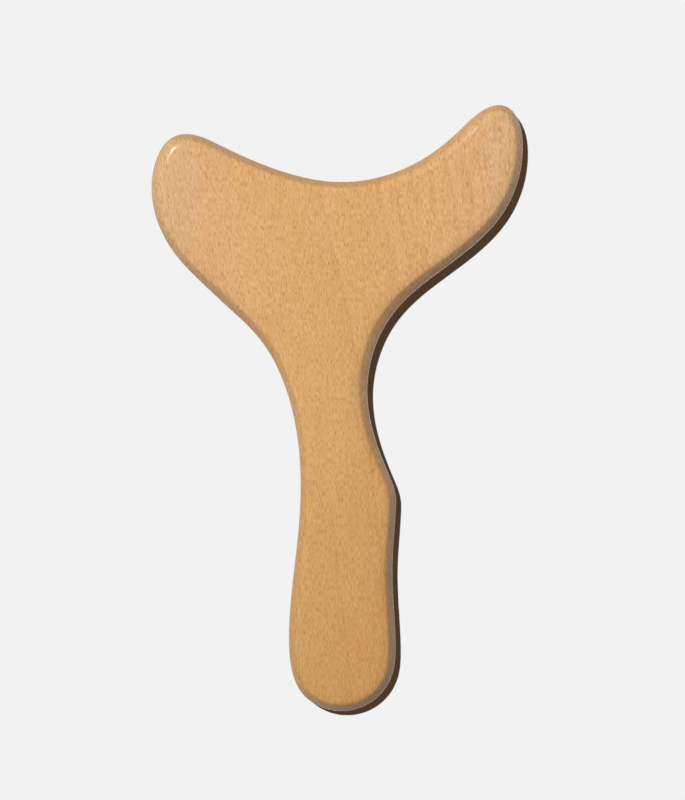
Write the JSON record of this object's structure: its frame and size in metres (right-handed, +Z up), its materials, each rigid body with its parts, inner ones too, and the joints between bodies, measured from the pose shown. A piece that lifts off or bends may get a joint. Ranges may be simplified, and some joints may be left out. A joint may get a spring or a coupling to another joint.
{
  "type": "gua sha scraper",
  "caption": "Flat wooden body gua sha scraper: broad lobe, slimmer horn, concave crescent between them, curved neck, handle with a finger swell, rounded rim.",
  "frame": {"origin": "centre of the part's box in X and Y, on the lower flat face it lies on", "axes": "+Y along the tool from the butt of the handle to the head, +X towards the horn, +Z up, square to the flat faces"},
  "size_m": [0.1348, 0.22, 0.012],
  "materials": {
    "beech": "clear lacquer, satin to gloss"
  },
  "bodies": {
    "root": {"scraper_body": "beech"}
  },
  "joints": []
}
